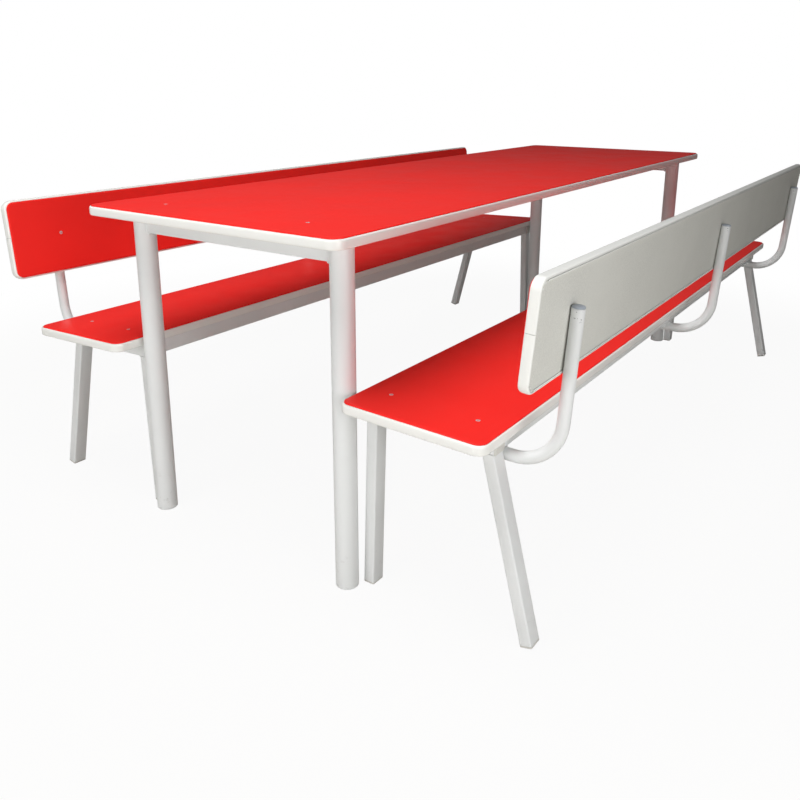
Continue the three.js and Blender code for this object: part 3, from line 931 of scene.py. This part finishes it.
class DINING_OT_bench_legs(Operator):
    """Rectangular bench legs, cut flush under the raked cross rails, with plastic caps as feet"""
    bl_idname = "dining_set.bench_legs"
    bl_label = "Bench Legs and Feet"

    def execute(self, context):
        leans = {"front": values_of("panels").seat_rake, "rear": -values_of("frames").rear_splay}
        for name in BENCHES:
            bench = Bench(name)
            for where, lean in leans.items():
                matrix = bench.leaning(lean)
                for end in ENDS:
                    self.make_leg(bench, matrix, f"{name}_{where}_leg_{end}")
                    self.make_foot(matrix, f"{name}_{where}_foot_{end}")
        return {"FINISHED"}

    def make_leg(self, bench, matrix, node):
        """A bar along the leg's lean, longer than the leg, cut at the cross rail's underside."""
        box = box_in(matrix, node)
        spare = Vector((0.0, 0.0, box.size.y))
        leg = open_bar(f"{node}_tube", box.size + spare, Z)
        close_mesh()
        place(leg, matrix @ at(*(box.centre + spare / 2)))
        rail_side = bench.raked.col[Z].to_3d()
        leg_top = bench.raked @ Vector((0.0, 0.0, box_in(bench.raked, node).high.z))
        open_mesh(leg)
        cut_off(leg_top, rail_side)
        finish_mesh(leg)
        settle(leg, "white_steel", "white_powder_coat", node)

    def make_foot(self, matrix, node):
        sizes = values_of("frames")
        box = box_in(matrix, node)
        height = sizes.bench_foot_height
        foot = open_bar(f"{node}_cap", (box.size.x, box.size.y, height), Z)
        select_edges_at(foot, Z, -height / 2)
        bevel_edges(sizes.bench_foot_rim, segments=3)
        spot = at(box.centre.x, box.centre.y, box.low.z + height / 2)
        set_piece(foot, matrix @ spot, "white_foot", "foot_plastic", node)


class BackTubeRoute:
    """The side path of a back tube in its bench's raked frame, read from its node's box."""

    def __init__(self, bench):
        sizes = values_of("frames")
        box = box_in(bench.raked, f"{bench.name}_back_tube_middle")
        self.radius = box.size.x / 2
        self.lean = sizes.tube_lean
        self.bend = sizes.tube_bend_radius
        self.rise = Vector((0.0, -math.sin(self.lean), math.cos(self.lean)))
        self.start = Vector((0.0, box.high.y, box.low.z + self.radius))
        rear = box.low.y + self.radius * math.cos(self.lean)
        self.top = Vector((0.0, rear, box.high.z - self.radius * math.sin(self.lean)))
        centre_z = self.start.z + self.bend
        upright_y = self.top.y + (self.top.z - centre_z) * math.tan(self.lean)
        self.centre = Vector((0.0, upright_y + self.bend / math.cos(self.lean), centre_z))


class DINING_OT_back_tubes(Operator):
    """Bent round tubes that carry the backrests, with domed plugs in their tops"""
    bl_idname = "dining_set.back_tubes"
    bl_label = "Back Tubes and Plugs"

    def execute(self, context):
        route = BackTubeRoute(Bench(BENCHES[0]))
        tube = self.make_tube(values_of("frames"), route)
        plug = self.make_plug(values_of("fittings"), route)
        for name in BENCHES:
            raked = Bench(name).raked
            for where in TUBE_PLACES:
                node = f"{name}_back_tube_{where}"
                plug_node = f"{name}_tube_plug_{where}"
                matrix = raked @ at(box_in(raked, node).centre.x, 0.0, 0.0)
                settle(set_copy(tube, f"{node}_bend", matrix), "white_steel", "chipped_powder_coat", node)
                settle(set_copy(plug, f"{plug_node}_cap", matrix), "grey_plug", "plug_plastic", plug_node)
        remove(tube, plug)
        return {"FINISHED"}

    def make_tube(self, sizes, route):
        tube = open_primitive(
            "tube_master", bpy.ops.mesh.primitive_circle_add, vertices=TUBE_SIDES, radius=route.radius,
            fill_type="NOTHING", location=route.start, rotation=(RIGHT_ANGLE, 0.0, 0.0))
        bpy.ops.mesh.select_mode(type="EDGE")
        extrude((0.0, route.centre.y - route.start.y, 0.0))
        turn = RIGHT_ANGLE - route.lean
        bpy.ops.mesh.spin(steps=BEND_STEPS, angle=turn, center=route.centre, axis=(1.0, 0.0, 0.0))
        bend_end = route.centre - Vector((0.0, math.cos(route.lean), math.sin(route.lean))) * route.bend
        extrude(route.top - bend_end)
        self.close_ends(tube, route, sizes)
        finish_mesh(tube)
        return tube

    def close_ends(self, tube, route, sizes):
        """Turns each open end into a cut wall with a short bore behind it."""
        share = 1.0 - sizes.tube_wall / route.radius

        def near(edge, middle):
            return all((vert.co - middle).length < 2 * route.radius for vert in edge.verts)

        for middle, inward in ((route.start, Vector((0.0, -1.0, 0.0))), (route.top, -route.rise)):
            select_parts(tube, "edges", lambda edge: edge.is_boundary and near(edge, middle))
            extrude((0.0, 0.0, 0.0))
            bpy.ops.transform.resize(value=(share, share, share), center_override=middle)
            extrude(inward * route.radius)
            bpy.ops.mesh.edge_face_add()

    def make_plug(self, sizes, route):
        """A stem in the tube, with a straight rim and a dome above it."""
        rim = sizes.plug_gap + sizes.plug_rim
        outer = route.radius - sizes.plug_inset
        stem = outer * PLUG_STEM
        profile = [(0.0, -sizes.plug_dome), (stem, -sizes.plug_dome)]
        profile += [(stem, sizes.plug_gap), (outer, sizes.plug_gap)]
        for turn in quarter_turn(DOME_STEPS):
            profile.append((outer * math.cos(turn), rim + sizes.plug_dome * math.sin(turn)))
        plug = turned_piece("plug_master", profile, TUBE_SIDES)
        place(plug, at(*route.top) @ Matrix.Rotation(route.lean, 4, "X"))
        return plug


class DINING_OT_rail_plugs(Operator):
    """Off-white plastic plugs in the ends of the seats' cross rails"""
    bl_idname = "dining_set.rail_plugs"
    bl_label = "Cross Rail Plugs"

    def execute(self, context):
        sizes = values_of("fittings")
        for name in BENCHES:
            raked = Bench(name).raked
            for end in ENDS:
                rail = box_in(raked, f"{name}_cross_rail_{end}")
                front = (rail.high.y, 0.0, sizes.rail_plug_trim)
                rear = (rail.low.y, math.pi, 0.0)
                for where, (y, turn, trim) in (("front", front), ("rear", rear)):
                    node = f"{name}_cross_rail_plug_{where}_{end}"
                    plug = self.open_plug(sizes, node, rail.size.x, rail.size.z - trim)
                    spot = at(rail.centre.x, y, rail.centre.z - trim / 2) @ Matrix.Rotation(turn, 4, "Z")
                    set_piece(plug, raked @ spot, "white_foot", "foot_plastic")
        return {"FINISHED"}

    def open_plug(self, sizes, name, width, height):
        """A cushion-shaped cap over +Y, flat where it meets the rail."""
        depth = sizes.rail_plug_depth
        plug = open_bar(name, (width, 2 * depth, height), Y)
        select_edges_at(plug, Y, depth)
        bevel_edges(depth * RAIL_PLUG_ROUNDNESS, segments=5)
        cut_off((0.0, sizes.rail_plug_gap, 0.0), (0.0, -1.0, 0.0))
        return plug


# Welds and screws

TABLE_SCREWS = ((-1.009, 0.213), (-1.012, -0.198), (1.004, 0.196), (1.024, -0.186))
# How far a seat's four screws lie from its middle, along it and across it
SEAT_SCREWS = {"near_bench_seat": (1.018, 0.095), "far_bench_seat": (1.011, 0.072)}
# How far above a backrest's lower edge its screws lie
BACK_SCREW_HEIGHT = 0.0964
# Share of a weld bead's radius between two ripples
WELD_TROUGH = 0.86
# The dome of a screw's head from rim to middle, in shares of its radius and height
SCREW_DOME = ((1.0, 0.0), (0.8, 0.7), (0.4, 1.0), (0.0, 1.0))


class DINING_OT_welds(Operator):
    """Rippled weld beads where rails, legs and back tubes meet, under the powder coat"""
    bl_idname = "dining_set.welds"
    bl_label = "Weld Beads"

    def execute(self, context):
        beads = []
        for end in ENDS:
            for side, inward in (("near", 1.0), ("far", -1.0)):
                leg = box_of(f"table_leg_{end}_{side}")
                beads += self.table_beads(leg, box_of(f"table_end_rail_{end}"), inward)
        self.settle_beads(beads, "table_weld_beads")
        for name in BENCHES:
            raked = Bench(name).raked
            beads = self.leg_beads(name, raked) + self.tube_beads(name, raked)
            self.settle_beads(beads, f"{name}_weld_beads")
        return {"FINISHED"}

    def settle_beads(self, beads, name):
        piece = join(beads, name)
        smooth(piece, BEAD_SMOOTH_ANGLE)
        settle(piece, "white_steel", "white_powder_coat")

    def table_beads(self, leg, rail, inward):
        """Two upright beads and one under the end rail, where it meets a round leg."""
        radius = leg.size.x / 2
        corner = leg.centre.y + inward * math.sqrt(radius ** 2 - (rail.size.x / 2) ** 2)
        beads = []
        for x in (rail.low.x, rail.high.x):
            beads.append(self.make_bead(rail.size.z, at(x, corner, rail.low.z)))
        under = at(rail.low.x, leg.centre.y + inward * radius, rail.low.z)
        beads.append(self.make_bead(rail.size.x, under @ ALONG_X))
        return beads

    def leg_beads(self, name, raked):
        """Beads on the inner side of each bench leg's top."""
        beads = []
        for end in ENDS:
            for where in ("front", "rear"):
                leg = box_in(raked, f"{name}_{where}_leg_{end}")
                inner = leg.low.y if where == "front" else leg.high.y
                spot = at(leg.low.x, inner, leg.high.z)
                beads.append(self.make_bead(leg.size.x, raked @ spot @ ALONG_X))
        return beads

    def tube_beads(self, name, raked):
        """Beads on both sides of each back tube, under the rear rail."""
        rail = box_in(raked, f"{name}_rear_rail")
        beads = []
        for where in TUBE_PLACES:
            tube = box_in(raked, f"{name}_back_tube_{where}")
            for side in SIDES:
                spot = at(tube.centre.x + side * tube.size.x / 4, rail.low.y, rail.low.z)
                beads.append(self.make_bead(rail.size.y, raked @ spot @ ALONG_Y))
        return beads

    def make_bead(self, length, matrix):
        """A bead that rises from its start, ripples along its length and sinks at its end."""
        sizes = values_of("fittings")
        steps = 2 * max(2, round(length / sizes.weld_ripple))
        profile = [(0.0, 0.0)]
        for index in range(1, steps):
            swell = 1.0 if index % 2 else WELD_TROUGH
            profile.append((sizes.weld_radius * swell, index * length / steps))
        profile.append((0.0, length))
        bead = turned_piece("weld_bead", profile, BEAD_SIDES)
        place(bead, matrix)
        return bead


class DINING_OT_screws(Operator):
    """Zinc screws through the facings"""
    bl_idname = "dining_set.screws"
    bl_label = "Screws"

    def execute(self, context):
        sizes = values_of("panels")
        master = self.make_screw(values_of("fittings"))
        for name in PANELS:
            panel = Panel(name)
            height = panel.thickness + sizes.facing_gap + sizes.facing_thickness
            heads = []
            for spot in self.spots(panel):
                matrix = panel.matrix @ at(*spot, height)
                heads.append(set_copy(master, f"{name}_screw_head", matrix))
            settle(join(heads, f"{name}_screws"), "zinc_screw", "zinc_plate")
        remove(master)
        return {"FINISHED"}

    def spots(self, panel):
        """Places of a panel's screws in its flat frame."""
        if panel.name == "table_top":
            return TABLE_SCREWS
        if panel.name in SEAT_SCREWS:
            along, across = SEAT_SCREWS[panel.name]
            return [(corner_x * along, corner_y * across) for corner_x, corner_y in CORNERS]
        tubes = [box_of(f"{body_of(panel.name)}_back_tube_{where}") for where in TUBE_PLACES]
        to_panel = panel.matrix.inverted()
        return [((to_panel @ tube.centre).x, BACK_SCREW_HEIGHT - panel.width / 2) for tube in tubes]

    def make_screw(self, sizes):
        """A low domed head with a cross slot."""
        head = sizes.screw_radius
        profile = [(0.0, -sizes.screw_sink), (head, -sizes.screw_sink)]
        profile += [(head * across, sizes.screw_dome * up) for across, up in SCREW_DOME]
        screw = turned_piece("screw_master", profile, SCREW_SIDES)
        for turn in (0.0, RIGHT_ANGLE):
            deselect_all()
            bpy.ops.mesh.primitive_cube_add(size=1.0, rotation=(0.0, 0.0, turn))
            cutter = name_piece(bpy.context.object, "slot_cutter")
            cutter.scale = (sizes.screw_slot_length, sizes.screw_slot, 2 * sizes.screw_slot_depth)
            cut = screw.modifiers.new("slot", "BOOLEAN")
            cut.operation = "DIFFERENCE"
            cut.object = cutter
            make_active(screw)
            bpy.ops.object.modifier_apply(modifier="slot")
            remove(cutter)
        smooth(screw)
        return screw


# Stage

# Each lamp's place, the spot it faces, its width and height, and whether shiny pieces mirror it
LAMPS = {
    "key": ((-1.4, 0.0, 2.8), (-0.7, 0.0, 0.5), (1.6, 1.6), True),
    "end": ((-3.6, 0.2, 0.80), (-0.7, 0.0, 0.5), (1.2, 1.0), False),
    "side": ((-1.6, -2.1, 0.70), (-0.8, -0.5, 0.5), (1.2, 0.8), True),
    "fill": ((3.4, 1.6, 0.60), (0.8, 0.2, 0.4), (1.6, 0.9), False),
}


class DINING_OT_stage(Operator):
    """Pale floor, soft lamps and the camera"""
    bl_idname = "dining_set.stage"
    bl_label = "Stage"

    def execute(self, context):
        stage = values_of("stage")
        self.make_floor(stage)
        self.make_world(context.scene, stage)
        for name, settings in LAMPS.items():
            self.make_lamp(context.scene, f"{name}_lamp", getattr(stage, f"{name}_power"), *settings)
        self.make_camera(context.scene, stage)
        context.scene.view_settings.view_transform = "Standard"
        return {"FINISHED"}

    def make_floor(self, stage):
        """A floor that the camera sees as nearly white, and as plain white far off."""
        floor = open_primitive("studio_floor", bpy.ops.mesh.primitive_plane_add, size=stage.floor_size)
        close_mesh()
        finish = Finish("pale_floor", roughness=0.9, specular=0.0)
        finish.shader.inputs["Base Color"].default_value = (*values_of("finishes").floor, 1.0)
        length = finish.add("ShaderNodeVectorMath", operation="LENGTH")
        finish.link(finish.coords, length.inputs[0])
        far_off = finish.spread(
            length.outputs["Value"], stage.floor_fade_start, stage.floor_fade_end, to_low=stage.floor_glow)
        white = finish.add("ShaderNodeEmission").outputs["Emission"]
        factor = finish.times(far_off, finish.camera_ray())
        finish.show("Material Output", factor, finish.shader.outputs["BSDF"], white)
        floor.data.materials.append(finish.material)

    def make_world(self, scene, stage):
        """Soft light that grows with height, seen by the camera as plain white."""
        scene.world = bpy.data.worlds.new("studio")
        scene.world.use_nodes = True
        nodes = Nodes(scene.world.node_tree)
        sky = nodes.tree.nodes["Background"]
        white = nodes.add("ShaderNodeBackground")
        for background in (sky, white):
            background.inputs["Color"].default_value = WHITE
        height = nodes.height_of(nodes.add("ShaderNodeTexCoord").outputs["Generated"])
        nodes.link(nodes.spread(height, 0.0, 1.0, stage.sky_low, stage.sky_above), sky.inputs["Strength"])
        lit, seen = [background.outputs["Background"] for background in (sky, white)]
        nodes.show("World Output", nodes.camera_ray(), lit, seen)

    def make_lamp(self, scene, name, power, spot, target, size, mirrored):
        lamp = bpy.data.lights.new(name, "AREA")
        lamp.shape = "RECTANGLE"
        lamp.size, lamp.size_y = size
        lamp.energy = power
        holder = bpy.data.objects.new(name, lamp)
        scene.collection.objects.link(holder)
        holder.location = spot
        holder.rotation_euler = (Vector(target) - Vector(spot)).to_track_quat("-Z", "Y").to_euler()
        holder.visible_camera = False
        holder.visible_glossy = mirrored

    def make_camera(self, scene, stage):
        lens = bpy.data.cameras.new("photo_camera")
        lens.sensor_width = stage.sensor
        lens.lens = stage.focal_length
        lens.shift_x = stage.shift_right
        lens.shift_y = stage.shift_up
        camera = bpy.data.objects.new("photo_camera", lens)
        scene.collection.objects.link(camera)
        turn = Matrix.Rotation(stage.heading - RIGHT_ANGLE, 4, "Z")
        nod = Matrix.Rotation(RIGHT_ANGLE - stage.tilt, 4, "X")
        roll = Matrix.Rotation(stage.roll, 4, "Z")
        camera.matrix_world = at(*stage.camera_place) @ turn @ nod @ roll
        scene.camera = camera


# The add-on's classes and the run

MAKERS = (
    DINING_OT_facings,
    DINING_OT_edgings,
    DINING_OT_boards,
    DINING_OT_table_legs,
    DINING_OT_rails,
    DINING_OT_bench_legs,
    DINING_OT_back_tubes,
    DINING_OT_rail_plugs,
    DINING_OT_welds,
    DINING_OT_screws,
    DINING_OT_stage,
)
GROUPS = {
    "dining_panels": DINING_PG_panels,
    "dining_frames": DINING_PG_frames,
    "dining_fittings": DINING_PG_fittings,
    "dining_finishes": DINING_PG_finishes,
    "dining_stage": DINING_PG_stage,
}


class DINING_PT_sidebar(bpy.types.Panel):
    """Lists the set's makers and their sizes"""
    bl_label = "Dining Set"
    bl_idname = "DINING_PT_sidebar"
    bl_space_type = "VIEW_3D"
    bl_region_type = "UI"
    bl_category = "Dining Set"

    def draw(self, context):
        for maker in MAKERS:
            self.layout.operator(maker.bl_idname)
        for group, kind in GROUPS.items():
            box = self.layout.box()
            for key in kind.__annotations__:
                box.prop(getattr(context.scene, group), key)


def register():
    for kind in (*GROUPS.values(), *MAKERS, DINING_PT_sidebar):
        bpy.utils.register_class(kind)
    for group, kind in GROUPS.items():
        setattr(bpy.types.Scene, group, PointerProperty(type=kind))


def unregister():
    for group in GROUPS:
        delattr(bpy.types.Scene, group)
    for kind in reversed((*GROUPS.values(), *MAKERS, DINING_PT_sidebar)):
        bpy.utils.unregister_class(kind)


def main():
    register()
    for maker in MAKERS:
        group, action = maker.bl_idname.split(".")
        getattr(getattr(bpy.ops, group), action)()


if __name__ == "__main__":
    main()
